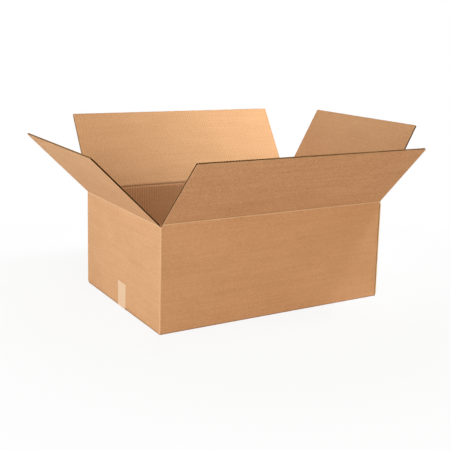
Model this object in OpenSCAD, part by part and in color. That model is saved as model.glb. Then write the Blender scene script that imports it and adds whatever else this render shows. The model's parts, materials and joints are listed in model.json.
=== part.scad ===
// Regular slotted carton of corrugated board, standing open on its taped bottom.
// X runs along the long side, Y across the box, Z up. The origin is the middle of the underside.

/* [Box] */
// Outside length, along X
box_l = 610; // [300:1:900]
// Outside width, along Y
box_w = 430; // [240:1:560]
// Height of the fold line of the long flaps above the floor
box_h = 246; // [160:1:500]
// Radius of the folded outer edges
fold_r = 3; // [1:0.5:3.5]

/* [Board] */
// Thickness of the corrugated board
board_t = 4; // [3:0.1:5]
// Thickness of each flat liner sheet
liner_t = 0.5; // [0.3:0.05:0.8]
// Thickness of the wavy sheet between the liners
medium_t = 0.45; // [0.3:0.05:0.7]
// Distance from one flute to the next
flute_pitch = 7.8; // [6:0.1:12]

/* [Flaps] */
// How far the front flap leans out from upright, in degrees
front_open = 44.5; // [20:0.5:80]
// How far the back flap leans out from upright, in degrees
back_open = 32.5; // [20:0.5:80]
// How far the left flap leans out from upright, in degrees
left_open = 45; // [20:0.5:80]
// How far the right flap leans out from upright, in degrees
right_open = 29.5; // [20:0.5:80]
// Gap between the two long flaps when they meet in the middle
meeting_gap = 1.5; // [0.5:0.1:6]
// Room between a flap and whatever it passes when it folds in
flap_play = 0.5; // [0.4:0.1:2]
// Room between each short flap and the long walls it folds in between
side_play = 1.2; // [0.6:0.1:3]
// Clearance at a scored fold and between flaps that lie on each other
fold_gap = 0.3; // [0.25:0.05:0.6]
// Height of the crushed board beside a fold, where the flutes are pressed shut
crush_h = 8; // [6:0.5:16]
// Depth of the open groove along the side edges of a flap
edge_groove = 2.2; // [1:0.1:3]

/* [Glued seam of the box] */
// Width of the glued tab, which is folded from the front panel and lies inside the right end panel
tab_w = 36; // [25:1:60]
// How far the sloping ends of the tab are cut back
tab_slope = 9; // [4:1:20]
// Distance from the tab to the folded flaps above and below it
tab_room = 8; // [3:1:20]
// How far the cut end of the right end panel stays behind the face of the front panel
joint_step = 1.2; // [0.6:0.1:2.5]

/* [Bottom] */
// Gap between the two outer bottom flaps
seam_gap = 1.5; // [0.5:0.1:6]
// How far the outer bottom flaps stay behind the end panels
bottom_inset = 2; // [1:0.5:3]
// Gap between the inner bottom flaps and the long walls
inner_gap = 1; // [0.5:0.1:3]

/* [Tape] */
// Width of the sealing tape
tape_w = 45; // [36:1:75]
// Thickness of the sealing tape
tape_t = 0.1; // [0.08:0.01:0.3]
// How far the tape runs up each end panel
tape_tail = 63; // [30:1:100]
// How far the middle of the tape lies off the seam, towards the front
tape_shift = 8; // [0:1:15]

/* [Hidden] */
$fn = 48;

// Overshoot of every cut past the faces it goes through
cut = 1;
// The short flaps fold below the long ones by one board and its clearance
short_drop = board_t + fold_gap;
long_fold_z = box_h;
short_fold_z = box_h - short_drop;
// All four top flaps end at the one straight cut of the blank
long_flap_h = box_w / 2 - meeting_gap / 2;
short_flap_h = long_flap_h + short_drop;
// Side insets leave the slots between neighbouring flaps
long_flap_inset = board_t + flap_play;
short_flap_inset = board_t + side_play;
long_flap_l = box_l - 2 * long_flap_inset;
short_flap_l = box_w - 2 * short_flap_inset;
// The slots reach a little below the fold lines
slot_floor = short_fold_z - flap_play;
// Each mitred face of a fold stands back by half the clearance, measured along the wall
mitre_drop = fold_gap / 2 * sqrt(2);
// The inner bottom flaps reach as far in as the outer ones, and their fold is one board higher
inner_flap_reach = box_w / 2 - seam_gap / 2 + board_t;
inner_step = box_l / 2 - inner_flap_reach;

kraft_outer = "#C69563";
kraft_inner = "#CE9E6B";
tape_tan = "#E3BB8E";

// Places its children at all four corners, which are mirror images of each other
module at_corners() {
    for (sx = [-1, 1], sy = [-1, 1])
        scale_sign(sx, sy) children();
}

module scale_sign(sx, sy) {
    mirror([sx < 0 ? 1 : 0, 0, 0])
        mirror([0, sy < 0 ? 1 : 0, 0])
            children();
}

// Rectangle with round corners, centred
module rounded_rect(l, w, r) {
    square([l - 2 * r, w], center = true);
    square([l, w - 2 * r], center = true);
    for (sx = [-1, 1], sy = [-1, 1])
        translate([sx * (l / 2 - r), sy * (w / 2 - r)])
            circle(r);
}

// Upright outline from the floor up whose two lower corners are round, w wide
module folded_outline(w, bottom, top, r) {
    translate([-w / 2, bottom + r])
        square([w, top - bottom - r]);
    translate([-w / 2 + r, bottom])
        square([w - 2 * r, r]);
    for (side = [-1, 1])
        translate([side * (w / 2 - r), bottom + r])
            circle(r);
}

// Plan of the panels. At the near right corner the front panel folds in behind the end panel,
// whose square cut end stands beside that fold with a narrow crevice between them.
module panel_plan() {
    fold_x = box_l / 2 - board_t - fold_r;
    difference() {
        rounded_rect(box_l, box_w, fold_r);
        translate([fold_x, -box_w / 2 - cut])
            square([fold_r + board_t + cut, joint_step + cut]);
        translate([fold_x, -box_w / 2 - cut])
            square([fold_r, fold_r + cut]);
    }
    translate([fold_x, -box_w / 2 + fold_r])
        circle(fold_r);
    translate([box_l / 2 - fold_r, -box_w / 2 + joint_step])
        square([fold_r, fold_r]);
}

// Everything inside the folded outer surface, before the box is hollowed
module outer_block() {
    intersection() {
        linear_extrude(long_fold_z)
            panel_plan();
        // Folds along the bottom of the long walls
        rotate([90, 0, 90])
            translate([0, 0, -box_l / 2 - cut])
                linear_extrude(box_l + 2 * cut)
                    folded_outline(box_w, 0, long_fold_z + cut, fold_r);
        // Folds along the bottom of the end panels, one board above the outer flaps
        rotate([90, 0, 0])
            translate([0, 0, -box_w / 2 - cut])
                linear_extrude(box_w + 2 * cut) {
                    folded_outline(box_l, board_t, long_fold_z + cut, fold_r);
                    translate([-box_l / 2 + bottom_inset, 0])
                        square([box_l - 2 * bottom_inset, board_t + fold_r]);
                }
    }
}

// Space between the walls, with the step down between the two inner bottom flaps
module inside_space() {
    inner_l = box_l - 2 * board_t;
    inner_w = box_w - 2 * board_t;
    translate([-inner_l / 2, -inner_w / 2, 2 * board_t])
        cube([inner_l, inner_w, box_h]);
    translate([-inner_step, -inner_w / 2, board_t])
        cube([2 * inner_step, inner_w, box_h]);
    for (side = [-1, 1])
        translate([-inner_l / 2, side * (inner_w - inner_gap) / 2 - inner_gap / 2, board_t])
            cube([inner_l, inner_gap, box_h]);
}

// Wedge that mitres the top of a wall, w long, whose outer face lies in the XZ plane
module wall_mitre(w) {
    translate([-w / 2, 0, -mitre_drop])
        rotate([90, 0, 90])
            linear_extrude(w)
                polygon([
                    [-cut, cut],
                    [board_t + cut, -board_t - cut],
                    [board_t + cut, board_t + box_h],
                    [-cut, board_t + box_h]
                ]);
}

// Cut-away above the walls: four mitred folds and the slots at the corners
module top_cuts() {
    for (turn = [0, 180])
        rotate([0, 0, turn])
            translate([0, -box_w / 2, long_fold_z])
                wall_mitre(box_l + 2 * cut);
    for (turn = [90, -90])
        rotate([0, 0, turn])
            translate([0, -box_l / 2, short_fold_z])
                wall_mitre(box_w - 2 * board_t);
    at_corners()
        translate([box_l / 2 - long_flap_inset, box_w / 2 - short_flap_inset, slot_floor])
            cube([long_flap_inset + cut, short_flap_inset + cut, box_h]);
}

// Glued tab of the front panel, on the inside of the right end panel
module glue_tab() {
    bottom = 2 * board_t + tab_room;
    top = short_fold_z - board_t - tab_room;
    translate([box_l / 2 - 2 * board_t, -box_w / 2 + board_t, 0])
        rotate([90, 0, 90])
            linear_extrude(board_t)
                polygon([
                    [0, bottom],
                    [0, top],
                    [tab_w, top - tab_slope],
                    [tab_w, bottom + tab_slope]
                ]);
}

// Flutes of the inner bottom flaps, open at their free edges and closed where the board is crushed
module inner_flap_flutes() {
    fold_x = box_l / 2 - board_t - crush_h;
    for (side = [0, 1])
        mirror([side, 0, 0])
            translate([inner_step - cut, 0, board_t])
                rotate([90, 0, 90])
                    linear_extrude(fold_x - inner_step + cut)
                        flute_row(box_w - 2 * board_t - 2 * inner_gap);
}

// Four walls, inner and outer bottom flaps and the glued tab: one folded sheet
module carton_body() {
    color(kraft_outer)
        difference() {
            union() {
                difference() {
                    outer_block();
                    inside_space();
                }
                glue_tab();
            }
            top_cuts();
            // Seam between the outer bottom flaps
            translate([-box_l / 2 - cut, -seam_gap / 2, -cut])
                cube([box_l + 2 * cut, seam_gap, board_t + cut]);
            // The tape is pressed into the board by its own thickness
            translate([-box_l / 2 - cut, -tape_shift - tape_w / 2, -cut])
                cube([box_l + 2 * cut, tape_w, tape_t + cut]);
            inner_flap_flutes();
        }
}

// One channel of the corrugation, between the wavy sheet and one liner
module flute_channel() {
    span = board_t - 2 * liner_t;
    lean = atan2(2 * span, flute_pitch);
    half = flute_pitch / 2 - medium_t / sin(lean) / 2;
    reach = half * tan(lean);
    polygon([[-half, 0], [half, 0], [0, reach]]);
}

// All the channels across a sheet l wide
module flute_row(l) {
    count = floor((l - 2 * edge_groove - flute_pitch) / flute_pitch);
    start = -(count - 0.5) * flute_pitch / 2;
    for (i = [0 : count - 1]) {
        translate([start + i * flute_pitch, liner_t])
            flute_channel();
        translate([start + (i + 0.5) * flute_pitch, board_t - liner_t])
            mirror([0, 1])
                flute_channel();
    }
}

// Section of a top flap l long: its channels and the open grooves along its two cut ends
module flap_section(l) {
    flute_row(l);
    for (side = [-1, 1])
        translate([side * l / 2 - edge_groove, liner_t])
            square([2 * edge_groove, board_t - 2 * liner_t]);
}

// A flap upright on its fold line: outer face in the XZ plane, board towards +Y
module flap(l, h) {
    difference() {
        translate([-l / 2, 0, 0])
            cube([l, board_t, h]);
        // Mitred root, the mirror image of the mitre on the wall
        translate([-l / 2 - cut, 0, mitre_drop])
            rotate([90, 0, 90])
                linear_extrude(l + 2 * cut)
                    polygon([
                        [-cut, -cut],
                        [board_t + cut, board_t + cut],
                        [board_t + cut, -board_t],
                        [-cut, -board_t]
                    ]);
        translate([0, 0, crush_h])
            linear_extrude(h)
                flap_section(l);
    }
}

module front_flap() {
    color(kraft_outer)
        translate([0, -box_w / 2, long_fold_z])
            rotate([front_open, 0, 0])
                flap(long_flap_l, long_flap_h);
}

module back_flap() {
    color(kraft_inner)
        rotate([0, 0, 180])
            translate([0, -box_w / 2, long_fold_z])
                rotate([back_open, 0, 0])
                    flap(long_flap_l, long_flap_h);
}

module left_flap() {
    color(kraft_outer)
        rotate([0, 0, -90])
            translate([0, -box_l / 2, short_fold_z])
                rotate([left_open, 0, 0])
                    flap(short_flap_l, short_flap_h);
}

module right_flap() {
    color(kraft_inner)
        rotate([0, 0, 90])
            translate([0, -box_l / 2, short_fold_z])
                rotate([right_open, 0, 0])
                    flap(short_flap_l, short_flap_h);
}

// One strip of tape along the bottom seam and up both end panels
module seam_tape() {
    color(tape_tan)
        rotate([90, 0, 0])
            translate([0, 0, tape_shift - tape_w / 2])
                linear_extrude(tape_w)
                    difference() {
                        translate([-box_l / 2 - tape_t, 0])
                            square([box_l + 2 * tape_t, tape_tail]);
                        translate([-box_l / 2, tape_t])
                            square([box_l, tape_tail]);
                    }
}

carton_body();
front_flap();
back_flap();
left_flap();
right_flap();
seam_tape();
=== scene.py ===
import json
import math
import bmesh
import bpy
import numpy as np
from mathutils import Matrix, Vector


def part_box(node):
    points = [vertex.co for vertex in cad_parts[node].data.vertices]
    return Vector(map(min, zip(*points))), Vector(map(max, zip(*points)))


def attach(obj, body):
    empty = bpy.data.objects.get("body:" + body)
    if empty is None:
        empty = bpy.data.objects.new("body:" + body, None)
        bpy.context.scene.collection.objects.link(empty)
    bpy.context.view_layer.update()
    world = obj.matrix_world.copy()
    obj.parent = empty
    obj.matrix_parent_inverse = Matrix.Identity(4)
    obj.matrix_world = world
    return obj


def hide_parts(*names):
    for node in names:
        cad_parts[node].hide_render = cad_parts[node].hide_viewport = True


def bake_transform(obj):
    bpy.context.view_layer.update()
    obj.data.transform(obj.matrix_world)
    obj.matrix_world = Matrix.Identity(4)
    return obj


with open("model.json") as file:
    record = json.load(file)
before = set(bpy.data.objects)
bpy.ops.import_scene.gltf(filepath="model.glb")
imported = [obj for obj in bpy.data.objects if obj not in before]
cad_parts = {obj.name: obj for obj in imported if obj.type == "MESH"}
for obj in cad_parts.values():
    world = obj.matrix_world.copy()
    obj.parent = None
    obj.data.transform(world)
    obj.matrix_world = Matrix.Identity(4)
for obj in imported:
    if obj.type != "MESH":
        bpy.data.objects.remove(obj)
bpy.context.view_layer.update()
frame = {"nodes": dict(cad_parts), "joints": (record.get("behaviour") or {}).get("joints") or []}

# Camera
# A long lens a little above the fold lines, looking at the near left corner of the box.
# The lens is shifted down so that the upright edges stay almost parallel.
LENS_PIXELS = 823.9
PICTURE_PIXELS = 450
AXIS_PIXEL = (250.0, 180.0)
SENSOR_MM = 36.0
CAMERA_AZIMUTH = 32.05
CAMERA_ELEVATION = 10.22
CAMERA_ROLL = 1.7
AIM_POINT = Vector((0, 0, 0.127))
CAMERA_DISTANCE = 2.1055
CAMERA_SIDESTEP = 0.0468
CAMERA_RISE = 0.1563

azimuth = math.radians(CAMERA_AZIMUTH)
elevation = math.radians(CAMERA_ELEVATION)
roll = math.radians(CAMERA_ROLL)
back = Vector((
    -math.sin(azimuth) * math.cos(elevation),
    -math.cos(azimuth) * math.cos(elevation),
    math.sin(elevation),
))
level = Vector((0, 0, 1)).cross(back).normalized()
upright = back.cross(level)
right = level * math.cos(roll) + upright * math.sin(roll)
up = upright * math.cos(roll) - level * math.sin(roll)
lens = bpy.data.cameras.new("camera")
lens.sensor_width = SENSOR_MM
lens.lens = LENS_PIXELS / PICTURE_PIXELS * SENSOR_MM
lens.shift_x = (PICTURE_PIXELS / 2 - AXIS_PIXEL[0]) / PICTURE_PIXELS
lens.shift_y = (AXIS_PIXEL[1] - PICTURE_PIXELS / 2) / PICTURE_PIXELS
camera = bpy.data.objects.new("camera", lens)
bpy.context.scene.collection.objects.link(camera)
camera.rotation_mode = "QUATERNION"
camera.rotation_quaternion = Matrix((right, up, back)).transposed().to_quaternion()
camera.location = AIM_POINT + right * CAMERA_SIDESTEP + up * CAMERA_RISE + back * CAMERA_DISTANCE
bpy.context.scene.camera = camera
bpy.context.scene.view_settings.view_transform = "Standard"


# Studio
# A white room: a large cool window to the left, two nearly neutral lamps low in front, a narrow cool one
# over the back flap and a fill behind. The floor is matt white, fades into white and keeps a soft shadow.
def linear(hex_colour):
    """Linear RGBA of an sRGB colour such as #C8986A."""
    out = []
    for i in (1, 3, 5):
        c = int(hex_colour[i:i + 2], 16) / 255
        out.append(c / 12.92 if c <= 0.04045 else ((c + 0.055) / 1.055) ** 2.4)
    return (*out, 1.0)


def add(tree, kind, inputs=None, **settings):
    """Adds a node with its settings, and fills its inputs with values or with other nodes' outputs."""
    made = tree.nodes.new(kind)
    for key, value in settings.items():
        setattr(made, key, value)
    for key, value in (inputs or {}).items():
        if isinstance(value, bpy.types.NodeSocket):
            tree.links.new(value, made.inputs[key])
        else:
            made.inputs[key].default_value = value
    return made


def new_material(name):
    """An empty node material and its tree."""
    material = bpy.data.materials.new(name)
    material.use_nodes = True
    material.node_tree.nodes.clear()
    return material, material.node_tree


def soft_lamp(name, place, size, power, hex_colour, aim=(0, 0, 0.15), spread=180):
    """A square area lamp at place, turned towards aim. spread is in degrees."""
    lamp = bpy.data.lights.new(name, "AREA")
    lamp.size = size
    lamp.energy = power
    lamp.color = linear(hex_colour)[:3]
    lamp.spread = math.radians(spread)
    holder = bpy.data.objects.new(name, lamp)
    bpy.context.scene.collection.objects.link(holder)
    holder.location = place
    holder.rotation_mode = "QUATERNION"
    holder.rotation_quaternion = (Vector(aim) - Vector(place)).to_track_quat("-Z", "Y")


ROOM_LIGHT = 0.27
ROOM_TINT = "#FFEEDA"
DAYLIGHT = "#E4F4FF"
SKYLIGHT = "#E6F8FF"
LAMPLIGHT = "#FFFAEF"
BACK_FLAP_MIDDLE = (0.36, 0.27, 0.38)
soft_lamp("window_left", (-2.7, -0.5, 0.8), 1.6, 71, DAYLIGHT)
soft_lamp("lamp_front", (-0.3, -2.8, 0.5), 1.8, 23.5, LAMPLIGHT)
soft_lamp("lamp_front_right", (0.6, -2.7, 1.0), 1.6, 12.4, LAMPLIGHT)
soft_lamp("lamp_back_flap", (1.05, -0.45, 2.0), 0.5, 4.4, SKYLIGHT, aim=BACK_FLAP_MIDDLE, spread=45)
soft_lamp("fill_behind", (1.9, 2.3, 0.9), 1.8, 31, LAMPLIGHT)

world = bpy.data.worlds.new("room")
bpy.context.scene.world = world
world.use_nodes = True
room = world.node_tree
room.nodes.clear()
seen = add(room, "ShaderNodeLightPath").outputs["Is Camera Ray"]
daylight = add(room, "ShaderNodeBackground", {"Color": linear(ROOM_TINT), "Strength": ROOM_LIGHT})
white = add(room, "ShaderNodeBackground", {"Color": (1, 1, 1, 1), "Strength": 1.0})
either = add(room, "ShaderNodeMixShader", {0: seen, 1: daylight.outputs[0], 2: white.outputs[0]})
add(room, "ShaderNodeOutputWorld", {"Surface": either.outputs[0]})

FLOOR_WHITE = "#EDEDED"
FLOOR_SIZE = 16.0
FLOOR_DROP = 0.0005
FADE_START = 0.42
FADE_END = 1.1
SHADOW_SHARE = 0.12
floor_material, tree = new_material("matt_white_floor")
place = add(tree, "ShaderNodeTexCoord").outputs["Object"]
distance = add(tree, "ShaderNodeVectorMath", {0: place}, operation="LENGTH").outputs["Value"]
fade = add(
    tree, "ShaderNodeMapRange",
    {"Value": distance, "From Min": FADE_START, "From Max": FADE_END, "To Min": 1 - SHADOW_SHARE,
     "To Max": 1.0},
).outputs[0]
seen = add(tree, "ShaderNodeLightPath").outputs["Is Camera Ray"]
share = add(tree, "ShaderNodeMath", {0: fade, 1: seen}, operation="MULTIPLY").outputs[0]
matt = add(tree, "ShaderNodeBsdfDiffuse", {"Color": linear(FLOOR_WHITE)})
glow = add(tree, "ShaderNodeEmission", {"Color": (1, 1, 1, 1), "Strength": 1.0})
both = add(tree, "ShaderNodeMixShader", {0: share, 1: matt.outputs[0], 2: glow.outputs[0]})
add(tree, "ShaderNodeOutputMaterial", {"Surface": both.outputs[0]})

half_floor = FLOOR_SIZE / 2
corners = [(x * half_floor, y * half_floor, 0) for x, y in ((-1, -1), (1, -1), (1, 1), (-1, 1))]
floor_mesh = bpy.data.meshes.new("floor")
floor_mesh.from_pydata(corners, [], [(0, 1, 2, 3)])
floor_mesh.materials.append(floor_material)
floor = bpy.data.objects.new("floor", floor_mesh)
floor.location.z = -FLOOR_DROP
bpy.context.scene.collection.objects.link(floor)

# Carton body
# Four walls, bottom flaps and glued tab, folded from one slotted sheet of C flute corrugated board.
# Unbleached kraft liner: matt brown paper with short fibres, faint streaks along the web and a washboard
# of flutes that shows through the thin sheet, more on the inside than on the outside.
BODY_LOW, BODY_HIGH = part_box("carton_body")
BOX_L = BODY_HIGH.x - BODY_LOW.x
BOX_W = BODY_HIGH.y - BODY_LOW.y
BOARD = 0.004
FLUTE_PITCH = 0.0069
LINER = 0.0004
MEDIUM = 0.0004
KRAFT_LIGHT = "#D4A075"
KRAFT_DARK = "#BE8A5D"
KRAFT_RUBBED_AND_HIGHLIGHT = "#E0BC94"
KRAFT_PAINTED_SHADE = "#8F6038"
KRAFT_GROOVE_SHADE = "#67422A"
# Patterns per metre. Fibres are drawn as clumps of 2 mm, coarser than they are, so that they show. Streaks
# are 4 mm apart, clouds 40 mm and patches 110 mm, and flecks of bark are about a millimetre.
FIBRES = 450.0
STREAKS = 240.0
CLOUDS = 25.0
FLECKS = 700.0
PATCHES = 9.0
# The way along the web is squeezed, which draws a pattern out: twice for fibres, forty times for streaks
FIBRE_SQUEEZE = 0.5
STREAK_SQUEEZE = 0.025
# Nearly all of a noise pattern lies between these values
NOISE_LOW = 0.3
NOISE_HIGH = 0.7
# How strongly the flutes show through from patch to patch, and the noise values that this goes by
PATCH_STRENGTH = (0.45, 1.35)
PATCH_RANGE = (0.35, 0.65)
# Tones, as shares of the step from dark to light kraft
WAVE_TONE = 0.03
WAVE_TONE_IN_BOX = 0.42
WAVE_TONE_IN_FLAP = 0.15
STREAK_DARK = -0.14
STREAK_LIGHT = 0.17
STREAK_LIGHT_INSIDE = 0.07
CLOUD_TONE = 0.10
TONES_IN_BOX = (-0.6, 1.3)
# Depth of the washboard and of the fibres
WASHBOARD_OUTSIDE = 0.00003
WASHBOARD_INSIDE = 0.00011
FIBRE_RELIEF = 0.00003
# Marks on the paper, some of them painted shade or a painted highlight: where each is at its full
# strength, where it ends, its strength and its colour. The first goes by the noise of the flecks and the
# second by the mask of the inside, the others by metres.
BARK_FLECK = (0.76, 0.68, 0.3, "#7A5435")
# Painted shade: the whole inside of the box is darkened
INSIDE_SHADE = (1.0, 0.0, 0.17, "#946A50")
RUBBED_CORNER = (0.0008, 0.0034, 0.22, KRAFT_RUBBED_AND_HIGHLIGHT)
# Painted contact shadow along the lowest edge of the box, also standing for scuffing
FOOT_SHADOW_AND_SCUFF = (0.0008, 0.0042, 0.7, "#8A6240")
CUT_END = (0.0014, 0.0008, 0.9, "#F0C893")
# Painted shade in the crevice of the glued seam
CREVICE_SHADE = (0.0006, 0.0024, 0.85, "#5B371C")
# Painted shade: a dark line along the crease just above the ridge
CREASE_SHADE_LINE = (0.0004, 0.0020, 0.4, KRAFT_PAINTED_SHADE)
# Painted highlight on the ridge outside the fold, together with rubbing
RIDGE_HIGHLIGHT_AND_RUB = (0.0009, 0.0021, 0.75, KRAFT_RUBBED_AND_HIGHLIGHT)
# Painted shade in the scored groove inside
SCORE_GROOVE_SHADE = (0.0009, 0.0021, 0.62, KRAFT_GROOVE_SHADE)
RUBBED_CUT = (0.0004, 0.0016, 0.6, KRAFT_RUBBED_AND_HIGHLIGHT)
# Painted shade along the pressed cut edges of the inner liner
PRESSED_CUT_SHADE = (0.0004, 0.0016, 0.4, KRAFT_PAINTED_SHADE)
# Height of the painted shade line of the crease above a fold, and how far behind the front face the seam
# still shows
CREASE_RISE = 0.003
SEAM_DEPTH = 0.003


def side_of_box(tree):
    """Where a spot of the box is: its place and facing, its distance from the middle, and two masks.

    The masks are 1 on the inner liner, and 1 where the flutes lie side by side along Y.
    """
    source = add(tree, "ShaderNodeTexCoord").outputs
    facing = add(tree, "ShaderNodeSeparateXYZ", {0: source["Normal"]}).outputs
    from_middle = add(tree, "ShaderNodeVectorMath", {0: source["Object"]}, operation="ABSOLUTE").outputs[0]
    off = add(tree, "ShaderNodeSeparateXYZ", {0: from_middle}).outputs
    # More than half a board in from every outer face
    inside = 1.0
    for axis, limit, test in (
        ("X", (BOX_L - BOARD) / 2, "LESS_THAN"),
        ("Y", (BOX_W - BOARD) / 2, "LESS_THAN"),
        ("Z", BOARD / 2, "GREATER_THAN"),
    ):
        within = add(tree, "ShaderNodeMath", {0: off[axis], 1: limit}, operation=test).outputs[0]
        inside = add(tree, "ShaderNodeMath", {0: inside, 1: within}, operation="MULTIPLY").outputs[0]
    # The end panels, and the inner bottom flaps that fold in from them
    reach = (BOX_L - BOX_W) / 2
    towards_end = add(tree, "ShaderNodeMath", {0: facing["X"]}, operation="ABSOLUTE").outputs[0]
    on_end = add(tree, "ShaderNodeMath", {0: towards_end, 1: 0.5}, operation="GREATER_THAN").outputs[0]
    level = add(tree, "ShaderNodeMath", {0: facing["Z"], 1: 0.5}, operation="GREATER_THAN").outputs[0]
    beyond = add(tree, "ShaderNodeMath", {0: off["X"], 1: reach}, operation="GREATER_THAN").outputs[0]
    on_flap = add(tree, "ShaderNodeMath", {0: level, 1: beyond}, operation="MULTIPLY").outputs[0]
    on_flap = add(tree, "ShaderNodeMath", {0: on_flap, 1: inside}, operation="MULTIPLY").outputs[0]
    across_y = add(tree, "ShaderNodeMath", {0: on_end, 1: on_flap}, operation="MAXIMUM").outputs[0]
    return source["Object"], facing, off, inside, across_y


def web_patterns(tree, spot, axes, across_y):
    """Noise in the sheet's own directions, along the web and across it, and the wave of the flutes."""
    along, beside = (
        add(
            tree, "ShaderNodeMix", {"Factor": across_y, 2: axes[a], 3: axes[b]}, data_type="FLOAT",
        ).outputs[0]
        for a, b in (("X", "Y"), ("Y", "X"))
    )
    sheet = add(tree, "ShaderNodeCombineXYZ", {0: along, 1: beside, 2: axes["Z"]}).outputs[0]
    short, long = (
        add(tree, "ShaderNodeVectorMath", {0: sheet, 1: (squeeze, 1, 1)}, operation="MULTIPLY").outputs[0]
        for squeeze in (FIBRE_SQUEEZE, STREAK_SQUEEZE)
    )
    fibres, streaks, clouds, flecks, patches = (
        add(
            tree, "ShaderNodeTexNoise",
            {"Vector": vector, "Scale": scale, "Detail": detail, "Roughness": roughness},
        ).outputs["Fac"]
        for vector, scale, detail, roughness in (
            (short, FIBRES, 3.0, 0.65), (long, STREAKS, 2.0, 0.6), (short, CLOUDS, 2.0, 0.5),
            (short, FLECKS, 1.0, 0.5), (spot, PATCHES, 1.0, 0.5),
        )
    )
    turn = 2 * math.pi / FLUTE_PITCH
    angle = add(tree, "ShaderNodeMath", {0: along, 1: turn}, operation="MULTIPLY").outputs[0]
    wave = add(tree, "ShaderNodeMath", {0: angle}, operation="SINE").outputs[0]
    patch = add(
        tree, "ShaderNodeMapRange",
        {"Value": patches, "From Min": PATCH_RANGE[0], "From Max": PATCH_RANGE[1],
         "To Min": PATCH_STRENGTH[0], "To Max": PATCH_STRENGTH[1]},
    ).outputs[0]
    wave = add(tree, "ShaderNodeMath", {0: wave, 1: patch}, operation="MULTIPLY").outputs[0]
    return fibres, streaks, clouds, flecks, wave


def marked(tree, paper, marks):
    """Paper with marks on it. Each is a distance, the mark's values, and a mask or None for everywhere."""
    for distance, (full, end, strength, hex_colour), mask in marks:
        if mask is not None:
            strength = add(tree, "ShaderNodeMath", {0: mask, 1: strength}, operation="MULTIPLY").outputs[0]
        share = add(
            tree, "ShaderNodeMapRange",
            {"Value": distance, "From Min": full, "From Max": end, "To Min": strength, "To Max": 0.0},
        ).outputs[0]
        paper = add(
            tree, "ShaderNodeMix", {"Factor": share, 6: paper, 7: linear(hex_colour)}, data_type="RGBA",
        ).outputs[2]
    return paper


def marks_on_box(tree, axes, facing, off, inside):
    """Painted shade over the inside of the box, corners rubbed by handling, a painted contact shadow with
    some scuffing along the lowest edge, and the glued seam with painted shade in its crevice.
    """
    from_end, from_side = (
        add(tree, "ShaderNodeMath", {0: size / 2, 1: off[axis]}, operation="SUBTRACT").outputs[0]
        for size, axis in ((BOX_L, "X"), (BOX_W, "Y"))
    )
    near_side = add(
        tree, "ShaderNodeMapRange",
        {"Value": from_side, "From Min": RUBBED_CORNER[0], "From Max": RUBBED_CORNER[1], "To Min": 1.0,
         "To Max": 0.0},
    ).outputs[0]
    # At the near right corner painted shade darkens a crevice beside the cut end of the end panel
    seam = BOX_L / 2 - BOARD
    from_seam = add(tree, "ShaderNodeMath", {0: axes["X"], 1: seam}, operation="SUBTRACT").outputs[0]
    to_seam = add(tree, "ShaderNodeMath", {0: from_seam}, operation="ABSOLUTE").outputs[0]
    front = SEAM_DEPTH - BOX_W / 2
    faces_front = add(tree, "ShaderNodeMath", {0: facing["Y"], 1: -0.5}, operation="LESS_THAN").outputs[0]
    at_front = add(tree, "ShaderNodeMath", {0: axes["Y"], 1: front}, operation="LESS_THAN").outputs[0]
    on_front = add(tree, "ShaderNodeMath", {0: faces_front, 1: at_front}, operation="MULTIPLY").outputs[0]
    return (
        (inside, INSIDE_SHADE, None),
        (from_end, RUBBED_CORNER, near_side),
        (axes["Z"], FOOT_SHADOW_AND_SCUFF, None),
        (from_seam, CUT_END, on_front),
        (to_seam, CREVICE_SHADE, on_front),
    )


def marks_on_flap(tree, axes, inside, fold_z):
    """What the scoring wheel and the knife leave along the fold and the cuts.

    Outside there is a thin ridge, rubbed lighter and given a painted highlight, under a crease drawn as a
    painted shade line, and the cuts are rubbed pale. Inside painted shade darkens the scored groove and the
    pressed cuts.
    """
    rise = add(tree, "ShaderNodeMath", {0: axes["Z"], 1: fold_z}, operation="SUBTRACT").outputs[0]
    over_crease = add(tree, "ShaderNodeMath", {0: rise, 1: CREASE_RISE}, operation="SUBTRACT").outputs[0]
    to_crease, to_fold = (
        add(tree, "ShaderNodeMath", {0: value}, operation="ABSOLUTE").outputs[0]
        for value in (over_crease, rise)
    )
    from_cut = add(tree, "ShaderNodeAttribute", attribute_name="from_cut").outputs["Vector"]
    cut = add(tree, "ShaderNodeSeparateXYZ", {0: from_cut}).outputs
    to_cut = add(tree, "ShaderNodeMath", {0: cut["X"], 1: cut["Z"]}, operation="MINIMUM").outputs[0]
    if inside:
        return (to_fold, SCORE_GROOVE_SHADE, None), (to_cut, PRESSED_CUT_SHADE, None)
    return (to_crease, CREASE_SHADE_LINE, None), (to_fold, RIDGE_HIGHLIGHT_AND_RUB, None), (to_cut, RUBBED_CUT, None)


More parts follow.
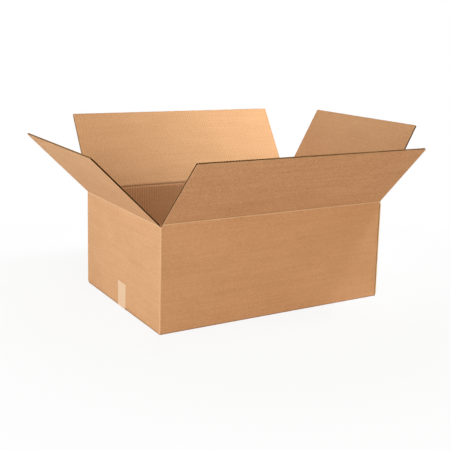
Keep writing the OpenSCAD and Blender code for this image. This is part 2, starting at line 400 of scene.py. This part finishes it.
def kraft_liner(name, on_box, grain, across_y=0.0, inside=0.0, fold_z=0.0):
    """Unbleached kraft paper glued over flutes: matt and mottled brown, with a faint washboard.

    The pattern turns with each side of the box, and on a flap it follows the flat sheet. grain is the
    strength of the mottling, which differs from liner to liner. across_y is 1 where the flutes lie side by
    side along Y, inside is 1 on the liner inside the box, and fold_z is the height of a flap's fold.
    """
    material, tree = new_material(name)
    if on_box:
        spot, facing, off, inside, across_y = side_of_box(tree)
    else:
        spot = add(tree, "ShaderNodeAttribute", attribute_name="flat").outputs["Vector"]
    axes = add(tree, "ShaderNodeSeparateXYZ", {0: spot}).outputs
    fibres, streaks, clouds, flecks, wave = web_patterns(tree, spot, axes, across_y)
    # What differs between the outer liner and the inner one
    wave_tone, streak_light, wave_depth = (
        add(tree, "ShaderNodeMapRange", {"Value": inside, "To Min": outer, "To Max": inner}).outputs[0]
        for outer, inner in (
            (WAVE_TONE, WAVE_TONE_IN_BOX if on_box else WAVE_TONE_IN_FLAP),
            (STREAK_LIGHT * grain, STREAK_LIGHT_INSIDE),
            (WASHBOARD_OUTSIDE / 2, WASHBOARD_INSIDE / 2),
        )
    )
    # A tone of 0 is dark kraft and 1 light kraft, and the fibres go past both where the grain is strong
    patterns = [
        (fibres, 0.5 - grain / 2, 0.5 + grain / 2, False),
        (streaks, STREAK_DARK * grain, streak_light, True),
        (clouds, -CLOUD_TONE, CLOUD_TONE, True),
    ]
    if on_box:
        patterns.append((fibres, *TONES_IN_BOX, False))
    tones = []
    for pattern, dark, light, clamp in patterns:
        made = add(
            tree, "ShaderNodeMapRange",
            {"Value": pattern, "From Min": NOISE_LOW, "From Max": NOISE_HIGH, "To Min": dark,
             "To Max": light},
            clamp=clamp,
        )
        tones.append(made.outputs[0])
    tone, streak, cloud = tones[:3]
    if on_box:
        # The liner inside the box is a more mottled sheet
        tone = add(
            tree, "ShaderNodeMix", {"Factor": inside, 2: tone, 3: tones[3]}, data_type="FLOAT",
        ).outputs[0]
    for other in (streak, cloud):
        tone = add(tree, "ShaderNodeMath", {0: tone, 1: other}, operation="ADD").outputs[0]
    tone = add(
        tree, "ShaderNodeMath", {0: wave, 1: wave_tone, 2: tone}, operation="MULTIPLY_ADD",
    ).outputs[0]
    paper = add(
        tree, "ShaderNodeMix", {"Factor": tone, 6: linear(KRAFT_DARK), 7: linear(KRAFT_LIGHT)},
        data_type="RGBA", clamp_factor=False,
    ).outputs[2]
    if on_box:
        marks = marks_on_box(tree, axes, facing, off, inside)
    else:
        marks = marks_on_flap(tree, axes, inside, fold_z)
    paper = marked(tree, paper, ((flecks, BARK_FLECK, None), *marks))
    washboard = add(tree, "ShaderNodeMath", {0: wave, 1: wave_depth}, operation="MULTIPLY").outputs[0]
    height = add(
        tree, "ShaderNodeMath", {0: fibres, 1: FIBRE_RELIEF, 2: washboard}, operation="MULTIPLY_ADD",
    ).outputs[0]
    relief = add(tree, "ShaderNodeBump", {"Height": height, "Distance": 1.0, "Strength": 1.0}).outputs[0]
    paint = add(
        tree, "ShaderNodeBsdfPrincipled",
        {"Base Color": paper, "Roughness": 0.86, "IOR": 1.45, "Specular IOR Level": 0.3, "Normal": relief},
    )
    add(tree, "ShaderNodeOutputMaterial", {"Surface": paint.outputs[0]})
    return material


body = frame["nodes"]["carton_body"]
body.data.materials.clear()
body.data.materials.append(kraft_liner("kraft_liner_walls", True, 0.8))

# Top flaps
# The four top flaps of the same sheet, each hinged at a line that a scoring wheel pressed into the board.
# Two flat liners with a glued wavy sheet between them; the cut edges show the open flutes.
JOINTS = {joint["child"]: joint for joint in frame["joints"]}
LONG_FOLD_Z = JOINTS["front_panel_flap"]["pos_m"][2]
SHORT_FOLD_Z = JOINTS["left_panel_flap"]["pos_m"][2]
# How high the board is pressed shut above a fold, half the height that bends, how far the liners reach down
# the wall, and how far they stand proud of its faces up to a little above the fold
CRUSH = 0.008
BEND = 0.0032
STRIP = 0.008
PROUD = 0.00012
PROUD_HEIGHT = 0.004
# The scored groove inside, and the ridge that it raises outside
SCORE_DEPTH = 0.0016
SCORE_WIDTH = 0.0026
RIDGE = 0.0004
RIDGE_WIDTH = 0.0011
# The cut edges: blunt free corners, liners pressed together, and a wavy sheet that stays behind at the sides
CORNER = 0.0022
EDGE_PRESS = 0.00004
PRESS_WIDTH = 0.0012
EDGE_GROOVE = 0.0018
# The papers of a flap, in the order of its materials
OUTER, INNER, EDGES, WAVE = range(4)
# The free edge wanders by a few tenths of a millimetre: size, radians per metre and start of each swing
KNIFE_WANDER = ((0.00018, 61, 0), (0.00012, 173, 1))
WANDER_REACH = 0.02
# Points of the liners: wide apart on the flat sheet, close together beside the cuts and over the fold
GRID_STEP = 0.008
BESIDE_CUT = np.array([0, 0.0004, 0.0009, 0.0015, 0.0022, 0.0032])
FOLD_ROWS = 33
FLAT_ROWS = 8
# The wavy sheet: points in a flute and up the flap, the flutes' turn out of square, and its lower end
WAVE_STEPS = 12
WAVE_ROWS = 5
WAVE_SKEW = math.radians(0.7)
WAVE_START = CRUSH * 0.7
SPARE_FLUTES = 3
WELD = 0.00001
# Cut paper: pale and dark tones at the knife, and the painted shade inside the board, each with where it
# starts and is full
CUT_PALE = "#DDA873"
CUT_DARK = "#B8804F"
CUT_FIBRES = 900.0
LINER_PAINTED_SHADE = (0.00003, 0.0005, "#260E03")
FLUTE_PAINTED_SHADE = (0.0005, 0.0020, "#321404")


def flute_nodes(material):
    """Geometry Nodes: one flute, repeated side by side into the wavy sheet between the liners."""
    tree = bpy.data.node_groups.new("wavy_sheet", "GeometryNodeTree")
    for label, kind in (
        ("Flutes", "NodeSocketInt"), ("Pitch", "NodeSocketFloat"),
        ("Wave height", "NodeSocketFloat"), ("Sheet height", "NodeSocketFloat"),
    ):
        tree.interface.new_socket(name=label, in_out="INPUT", socket_type=kind)
    tree.interface.new_socket(name="Geometry", in_out="OUTPUT", socket_type="NodeSocketGeometry")
    given = add(tree, "NodeGroupInput").outputs
    one = add(
        tree, "GeometryNodeMeshGrid",
        {"Size X": given["Pitch"], "Size Y": given["Sheet height"], "Vertices X": WAVE_STEPS + 1,
         "Vertices Y": WAVE_ROWS},
    )
    place = add(tree, "GeometryNodeInputPosition")
    axes = add(tree, "ShaderNodeSeparateXYZ", {0: place.outputs[0]})
    turn = add(tree, "ShaderNodeMath", {0: axes.outputs["X"], 1: given["Pitch"]}, operation="DIVIDE")
    angle = add(tree, "ShaderNodeMath", {0: turn.outputs[0], 1: 2 * math.pi}, operation="MULTIPLY")
    swing = add(tree, "ShaderNodeMath", {0: angle.outputs[0]}, operation="COSINE")
    half = add(tree, "ShaderNodeMath", {0: given["Wave height"], 1: 0.5}, operation="MULTIPLY")
    lift = add(tree, "ShaderNodeMath", {0: swing.outputs[0], 1: half.outputs[0]}, operation="MULTIPLY")
    offset = add(tree, "ShaderNodeCombineXYZ", {2: lift.outputs[0]})
    waved = add(
        tree, "GeometryNodeSetPosition", {"Geometry": one.outputs["Mesh"], "Offset": offset.outputs[0]},
    )
    step = add(tree, "ShaderNodeCombineXYZ", {0: given["Pitch"]})
    row = add(
        tree, "GeometryNodeMeshLine", {"Count": given["Flutes"], "Offset": step.outputs[0]}, mode="OFFSET",
    )
    copies = add(
        tree, "GeometryNodeInstanceOnPoints", {"Points": row.outputs[0], "Instance": waved.outputs[0]},
    )
    real = add(tree, "GeometryNodeRealizeInstances", {0: copies.outputs[0]})
    joined = add(tree, "GeometryNodeMergeByDistance", {"Geometry": real.outputs[0], "Distance": WELD})
    coated = add(tree, "GeometryNodeSetMaterial", {"Geometry": joined.outputs[0], "Material": material})
    add(tree, "NodeGroupOutput", {0: coated.outputs[0]})
    return tree


def finished_mesh(holder):
    """The object's mesh with its modifiers applied."""
    graph = bpy.context.evaluated_depsgraph_get()
    return bpy.data.meshes.new_from_object(holder.evaluated_get(graph))


def wavy_sheet(length, low, high, shift, material):
    """Points and faces of the flat wavy sheet: X across the flutes, Y through the board, Z up the flap."""
    holder = bpy.data.objects.new("wavy_sheet", bpy.data.meshes.new("wavy_sheet"))
    bpy.context.scene.collection.objects.link(holder)
    nodes = holder.modifiers.new("flutes", "NODES")
    nodes.node_group = flute_nodes(material)
    flutes = int(length / FLUTE_PITCH) + SPARE_FLUTES
    values = {
        "Flutes": flutes, "Pitch": FLUTE_PITCH, "Sheet height": high - low,
        "Wave height": BOARD - 2 * LINER - MEDIUM,
    }
    for item in nodes.node_group.interface.items_tree:
        if item.name in values:
            nodes[item.identifier] = values[item.name]
    sheet = finished_mesh(holder)
    holder.modifiers.remove(nodes)
    # The corrugator never lays the flutes quite square to the knife, and the cut goes through them
    shaped = bmesh.new()
    shaped.from_mesh(sheet)
    first = -(flutes - 1) / 2 * FLUTE_PITCH + shift
    for point in shaped.verts:
        # The rows lie closer together towards the free edge
        up = 0.5 + point.co.y / (high - low)
        point.co.y = (1 - (1 - up) ** 3 - 0.5) * (high - low)
        point.co.x += first + point.co.y * math.tan(WAVE_SKEW)
    for side in (-1, 1):
        bmesh.ops.bisect_plane(
            shaped, geom=shaped.verts[:] + shaped.edges[:] + shaped.faces[:],
            plane_co=(side * (length / 2 - EDGE_GROOVE), 0, 0), plane_no=(side, 0, 0), clear_outer=True,
        )
    shaped.to_mesh(sheet)
    shaped.free()
    holder.data = sheet
    thick = holder.modifiers.new("thickness", "SOLIDIFY")
    thick.thickness = MEDIUM
    thick.offset = 0
    solid = finished_mesh(holder)
    points = np.array([(v.co.x, BOARD / 2 + v.co.z, (high + low) / 2 + v.co.y) for v in solid.vertices])
    faces = [tuple(reversed(p.vertices)) for p in solid.polygons]
    bpy.data.objects.remove(holder)
    bpy.data.meshes.remove(sheet)
    bpy.data.meshes.remove(solid)
    return points, faces


def closed_shell(front, rear):
    """A thin closed sheet between two grids of points: its points, and its front, rear and rim faces."""
    rows, columns = front.shape[:2]
    points = np.concatenate([front.reshape(-1, 3), rear.reshape(-1, 3)])
    shift = rows * columns
    near, far = [], []
    for r in range(rows - 1):
        for c in range(columns - 1):
            a = r * columns + c
            quad = (a, a + 1, a + columns + 1, a + columns)
            near.append(quad)
            far.append(tuple(shift + i for i in reversed(quad)))
    rim = [c for c in range(columns)]
    rim += [r * columns + columns - 1 for r in range(1, rows)]
    rim += [(rows - 1) * columns + c for c in range(columns - 2, -1, -1)]
    rim += [r * columns for r in range(rows - 2, 0, -1)]
    sides = [(b, a, a + shift, b + shift) for a, b in zip(rim, rim[1:] + rim[:1])]
    return points, near, far, sides


def smooth(t):
    """Eases from 0 to 1."""
    t = np.clip(t, 0, 1)
    return t * t * (3 - 2 * t)


def cut_to_shape(points, length, height):
    """Presses the board thinner along its cut edges and blunts its two free corners."""
    from_side = length / 2 - np.abs(points[:, 0])
    from_top = height - points[:, 2]
    press = EDGE_PRESS * np.exp(-(np.minimum(from_side, from_top) / PRESS_WIDTH) ** 2)
    middle = points[:, 1] - BOARD / 2
    over_x = np.maximum(CORNER - from_side, 0)
    over_z = np.maximum(CORNER - from_top, 0)
    far = np.hypot(over_x, over_z)
    pull = np.where(far > 0, np.maximum(over_x, over_z) / np.maximum(far, 1e-9), 1)
    x = points[:, 0] - np.sign(points[:, 0]) * over_x * (1 - pull)
    y = points[:, 1] - np.sign(middle) * press
    z = points[:, 2] - over_z * (1 - pull)
    return np.stack([x, y, z], axis=1)


def fold(points, lean):
    """Bends the flat sheet about its scored line. Y goes through the board and Z up the flap."""
    turn = smooth((points[:, 2] + BEND) / (2 * BEND)) * lean
    y = points[:, 1] * np.cos(turn) - points[:, 2] * np.sin(turn)
    z = points[:, 1] * np.sin(turn) + points[:, 2] * np.cos(turn)
    return np.stack([points[:, 0], y, z], axis=1)


def flat_board(length, height, shift, fluting):
    """The flap before it is folded: its points, its faces, and which paper each face is of."""
    ends = BESIDE_CUT[::-1]
    columns = int(length / GRID_STEP) + 1
    span = length / 2 - GRID_STEP
    x = np.concatenate([-length / 2 + BESIDE_CUT, np.linspace(-span, span, columns), length / 2 - ends])
    low = np.linspace(-STRIP, CRUSH, FOLD_ROWS)
    high = np.linspace(CRUSH, height - GRID_STEP, FLAT_ROWS)[1:]
    grid_x, grid_z = np.meshgrid(x, np.concatenate([low, high, height - ends]))
    wander = sum(size * np.sin(grid_x * rate + start) for size, rate, start in KNIFE_WANDER)
    grid_z = grid_z - np.abs(wander) * smooth((grid_z - height + WANDER_REACH) / WANDER_REACH)
    # Below the fold both liners lie on the wall and end just inside its face
    over_wall = smooth((-grid_z - STRIP * 0.75) / (STRIP * 0.25))
    rise = PROUD * (1 - smooth(grid_z / PROUD_HEIGHT)) - 2 * PROUD * over_wall
    outer = -rise - RIDGE * np.exp(-(grid_z / RIDGE_WIDTH) ** 2)
    inner = BOARD + rise - SCORE_DEPTH * np.exp(-(grid_z / SCORE_WIDTH) ** 2)
    points, faces, papers = [], [], []
    for paper, surface in ((OUTER, outer), (INNER, inner - LINER)):
        near = np.stack([grid_x, surface, grid_z], axis=2)
        far = np.stack([grid_x, surface + LINER, grid_z], axis=2)
        shell, near_faces, far_faces, sides = closed_shell(near, far)
        start = sum(len(p) for p in points)
        if paper == OUTER:
            seen_faces, hidden_faces = near_faces, far_faces
        else:
            seen_faces, hidden_faces = far_faces, near_faces
        for group, kind in ((seen_faces, paper), (hidden_faces, EDGES), (sides, EDGES)):
            faces += [tuple(i + start for i in quad) for quad in group]
            papers += [kind] * len(group)
        points.append(shell)
    wave, wave_faces = wavy_sheet(length, WAVE_START, height - MEDIUM, shift, fluting)
    start = sum(len(p) for p in points)
    faces += [tuple(i + start for i in quad) for quad in wave_faces]
    papers += [WAVE] * len(wave_faces)
    points.append(wave)
    return cut_to_shape(np.concatenate(points), length, height), faces, papers


def remember(mesh, name, vectors):
    """Keeps a vector at each point of the mesh, for the materials."""
    memory = mesh.attributes.new(name, "FLOAT_VECTOR", "POINT")
    memory.data.foreach_set("vector", vectors.astype(np.float32).ravel())


def flap(side, length, height, reach, fold_z, papers, quarter, shift):
    """One flap with its scored fold, bent from the flat sheet to its place.

    reach is the distance from the middle of the box to the fold, and papers are the materials of the outer
    liner, the inner liner, their cut edges and the wavy sheet. quarter is the flap's turn about Z in
    degrees, and shift moves its flutes sideways.
    """
    name = side + "_flap_board"
    body_name = side + "_panel_flap"
    # A flap's lower limit is level over the box, a quarter turn further in than upright
    lean = math.radians(-JOINTS[body_name]["range_deg"][0] - 90)
    flat, faces, kinds = flat_board(length, height, shift, papers[WAVE])
    turn = Matrix.Rotation(math.radians(quarter), 3, "Z")
    to_place = np.array(turn).T
    root_line = np.array(turn @ Vector((0, -reach, fold_z)))
    mesh = bpy.data.meshes.new(name)
    mesh.from_pydata((fold(flat, lean) @ to_place + root_line).tolist(), [], faces)
    for paper in papers:
        mesh.materials.append(paper)
    mesh.polygons.foreach_set("material_index", kinds)
    # The materials follow the sheet as it was before it was folded, and know how far a spot is from a cut
    remember(mesh, "flat", flat @ to_place + root_line)
    from_cut = np.stack([length / 2 - np.abs(flat[:, 0]), flat[:, 1], height - flat[:, 2]], axis=1)
    remember(mesh, "from_cut", from_cut)
    mesh.update()
    piece = bpy.data.objects.new(name, mesh)
    bpy.context.scene.collection.objects.link(piece)
    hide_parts(side + "_flap")
    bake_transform(piece)


def cut_paper(name, shade):
    """Paper inside the board: pale where the knife cut it, and darkened with painted shade further into the
    flutes.
    """
    start, full, hex_colour = shade
    material, tree = new_material(name)
    from_cut = add(tree, "ShaderNodeAttribute", attribute_name="from_cut").outputs["Vector"]
    axes = add(tree, "ShaderNodeSeparateXYZ", {0: from_cut}).outputs
    near = add(tree, "ShaderNodeMath", {0: axes["X"], 1: axes["Z"]}, operation="MINIMUM").outputs[0]
    # Painted shade: the paper darkens with its distance from the nearest cut
    depth = add(
        tree, "ShaderNodeMapRange", {"Value": near, "From Min": start, "From Max": full},
        interpolation_type="SMOOTHSTEP",
    ).outputs[0]
    fibres = add(
        tree, "ShaderNodeTexNoise", {"Vector": from_cut, "Scale": CUT_FIBRES, "Detail": 2.0},
    ).outputs["Fac"]
    pale = add(
        tree, "ShaderNodeMix", {"Factor": fibres, 6: linear(CUT_DARK), 7: linear(CUT_PALE)},
        data_type="RGBA",
    ).outputs[2]
    shaded = add(
        tree, "ShaderNodeMix", {"Factor": depth, 6: pale, 7: linear(hex_colour)}, data_type="RGBA",
    ).outputs[2]
    paint = add(
        tree, "ShaderNodeBsdfPrincipled",
        {"Base Color": shaded, "Roughness": 0.95, "Specular IOR Level": 0.1},
    )
    add(tree, "ShaderNodeOutputMaterial", {"Surface": paint.outputs[0]})
    return material


liner_edge = cut_paper("liner_cut_edge", LINER_PAINTED_SHADE)
fluting = cut_paper("semichemical_fluting", FLUTE_PAINTED_SHADE)
long_papers = (
    kraft_liner("kraft_liner_long_flaps_outside", False, 1.4, fold_z=LONG_FOLD_Z),
    kraft_liner("kraft_liner_long_flaps_inside", False, 1.15, inside=1.0, fold_z=LONG_FOLD_Z),
    liner_edge,
    fluting,
)
short_papers = (
    kraft_liner("kraft_liner_short_flaps_outside", False, 1.1, across_y=1.0, fold_z=SHORT_FOLD_Z),
    kraft_liner(
        "kraft_liner_short_flaps_inside", False, 0.75, across_y=1.0, inside=1.0, fold_z=SHORT_FOLD_Z,
    ),
    liner_edge,
    fluting,
)

# Slots beside the flaps, and half the gap between the long flaps when they meet
SLOT_LONG = 0.0045
SLOT_SHORT = 0.0052
HALF_GAP = 0.00075
LONG_LENGTH = BOX_L - 2 * SLOT_LONG
SHORT_LENGTH = BOX_W - 2 * SLOT_SHORT
LONG_HEIGHT = BOX_W / 2 - HALF_GAP
SHORT_HEIGHT = LONG_HEIGHT + LONG_FOLD_Z - SHORT_FOLD_Z
long_flap = (LONG_LENGTH, LONG_HEIGHT, BOX_W / 2, LONG_FOLD_Z, long_papers)
short_flap = (SHORT_LENGTH, SHORT_HEIGHT, BOX_L / 2, SHORT_FOLD_Z, short_papers)
for side, kind, quarter, shift in (
    ("front", long_flap, 0, 0.0012),
    ("back", long_flap, 180, -0.0021),
    ("left", short_flap, -90, 0.0005),
    ("right", short_flap, 90, 0.0017),
):
    flap(side, *kind, quarter, shift)

# Sealing tape
# One strip of polypropylene tape along the bottom seam and a short way up both end panels, pressed on by
# hand. A tan film with a slight gloss, through which the paper's mottling shows. Its ends were torn on a
# toothed blade.
TAPE_LOW, TAPE_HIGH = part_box("seam_tape")
TAPE_THICK = 0.0001
TAPE_BEND = 0.0022
TAIL_ROWS = 16
BEND_ROWS = 7
UNDER_ROWS = 60
TOOTH = 0.0008
TOOTH_DEPTH = 0.0007
TAN_LIGHT = "#E2BC98"
TAN_DARK = "#D7AE89"
TAN_BUBBLE = "#E8C8A8"
# Patterns per metre: mottling of 2.5 mm, draw lines of 1.5 mm and bubbles of 5 mm, drawn coarse to show
FILM_MOTTLE = 380.0
DRAW_LINES = 700.0
BUBBLES = 190.0
DRAW_SQUEEZE = 0.03
DRAW_DEPTH = 0.00002
BUBBLE_CORE = 0.10
BUBBLE_RIM = 0.22
BUBBLE_HEIGHT = 0.00004
MOTTLE_TONES = (0.15, 0.85)


def tape_strip():
    """The strip as a closed film, from the end of one tail under the box to the end of the other."""
    half = TAPE_HIGH.x
    tail = TAPE_HIGH.z
    up = np.linspace(tail, TAPE_BEND, TAIL_ROWS)
    arc = np.linspace(0, math.pi / 2, BEND_ROWS)[1:-1]
    under = np.linspace(-half + TAPE_BEND, half - TAPE_BEND, UNDER_ROWS)
    outside, inward = [], []
    for z in up:
        outside.append((-half, z))
        inward.append((1, 0))
    for a in arc:
        outside.append((-half + TAPE_BEND * (1 - math.cos(a)), TAPE_BEND * (1 - math.sin(a))))
        inward.append((math.cos(a), math.sin(a)))
    for x in under:
        outside.append((x, 0))
        inward.append((0, 1))
    for (x, z), (a, b) in list(zip(outside, inward))[len(up) + len(arc) - 1::-1]:
        outside.append((-x, z))
        inward.append((-a, b))
    path = np.array(outside)
    depth = np.array(inward) * TAPE_THICK
    width = TAPE_HIGH.y - TAPE_LOW.y
    columns = 2 * int(width / TOOTH / 2) + 1
    y = np.linspace(TAPE_LOW.y, TAPE_HIGH.y, columns)
    grid_y, x = np.meshgrid(y, path[:, 0])
    z = np.repeat(path[:, 1:], columns, axis=1)
    teeth = TOOTH_DEPTH * (np.arange(columns) % 2)
    z[0] -= teeth
    z[-1] -= teeth
    front = np.stack([x, grid_y, z], axis=2)
    rear = front + np.stack([depth[:, :1], 0 * depth[:, :1], depth[:, 1:]], axis=2)
    points, near, far, sides = closed_shell(front, rear)
    mesh = bpy.data.meshes.new("sealing_tape_strip")
    mesh.from_pydata(points.tolist(), [], near + far + sides)
    mesh.update()
    return mesh


def tape_film():
    """Tan polypropylene film: satin, paler than the paper, with draw lines along it and trapped bubbles."""
    material, tree = new_material("polypropylene_tape")
    spot = add(tree, "ShaderNodeTexCoord").outputs["Object"]
    stretched = add(
        tree, "ShaderNodeVectorMath", {0: spot, 1: (DRAW_SQUEEZE, 1, DRAW_SQUEEZE)}, operation="MULTIPLY",
    ).outputs[0]
    mottle = add(
        tree, "ShaderNodeTexNoise", {"Vector": spot, "Scale": FILM_MOTTLE, "Detail": 3.0, "Roughness": 0.6},
    ).outputs["Fac"]
    drawn = add(
        tree, "ShaderNodeTexNoise", {"Vector": stretched, "Scale": DRAW_LINES, "Detail": 1.0},
    ).outputs["Fac"]
    from_bubble = add(tree, "ShaderNodeTexVoronoi", {"Vector": spot, "Scale": BUBBLES}).outputs["Distance"]
    bubble = add(
        tree, "ShaderNodeMapRange",
        {"Value": from_bubble, "From Min": BUBBLE_CORE, "From Max": BUBBLE_RIM, "To Min": 1.0,
         "To Max": 0.0},
    ).outputs[0]
    tone = add(
        tree, "ShaderNodeMapRange",
        {"Value": mottle, "From Min": NOISE_LOW, "From Max": NOISE_HIGH, "To Min": MOTTLE_TONES[0],
         "To Max": MOTTLE_TONES[1]},
    ).outputs[0]
    tan = add(
        tree, "ShaderNodeMix", {"Factor": tone, 6: linear(TAN_DARK), 7: linear(TAN_LIGHT)},
        data_type="RGBA",
    ).outputs[2]
    tan = add(
        tree, "ShaderNodeMix", {"Factor": bubble, 6: tan, 7: linear(TAN_BUBBLE)}, data_type="RGBA",
    ).outputs[2]
    lines = add(tree, "ShaderNodeMath", {0: drawn, 1: DRAW_DEPTH}, operation="MULTIPLY").outputs[0]
    height = add(
        tree, "ShaderNodeMath", {0: bubble, 1: BUBBLE_HEIGHT, 2: lines}, operation="MULTIPLY_ADD",
    ).outputs[0]
    relief = add(tree, "ShaderNodeBump", {"Height": height, "Distance": 1.0, "Strength": 1.0}).outputs[0]
    paint = add(
        tree, "ShaderNodeBsdfPrincipled",
        {"Base Color": tan, "Roughness": 0.38, "IOR": 1.49, "Normal": relief},
    )
    add(tree, "ShaderNodeOutputMaterial", {"Surface": paint.outputs[0]})
    return material


tape_mesh = tape_strip()
tape_mesh.materials.append(tape_film())
tape = bpy.data.objects.new("sealing_tape_strip", tape_mesh)
bpy.context.scene.collection.objects.link(tape)
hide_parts("seam_tape")
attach(tape, "root")
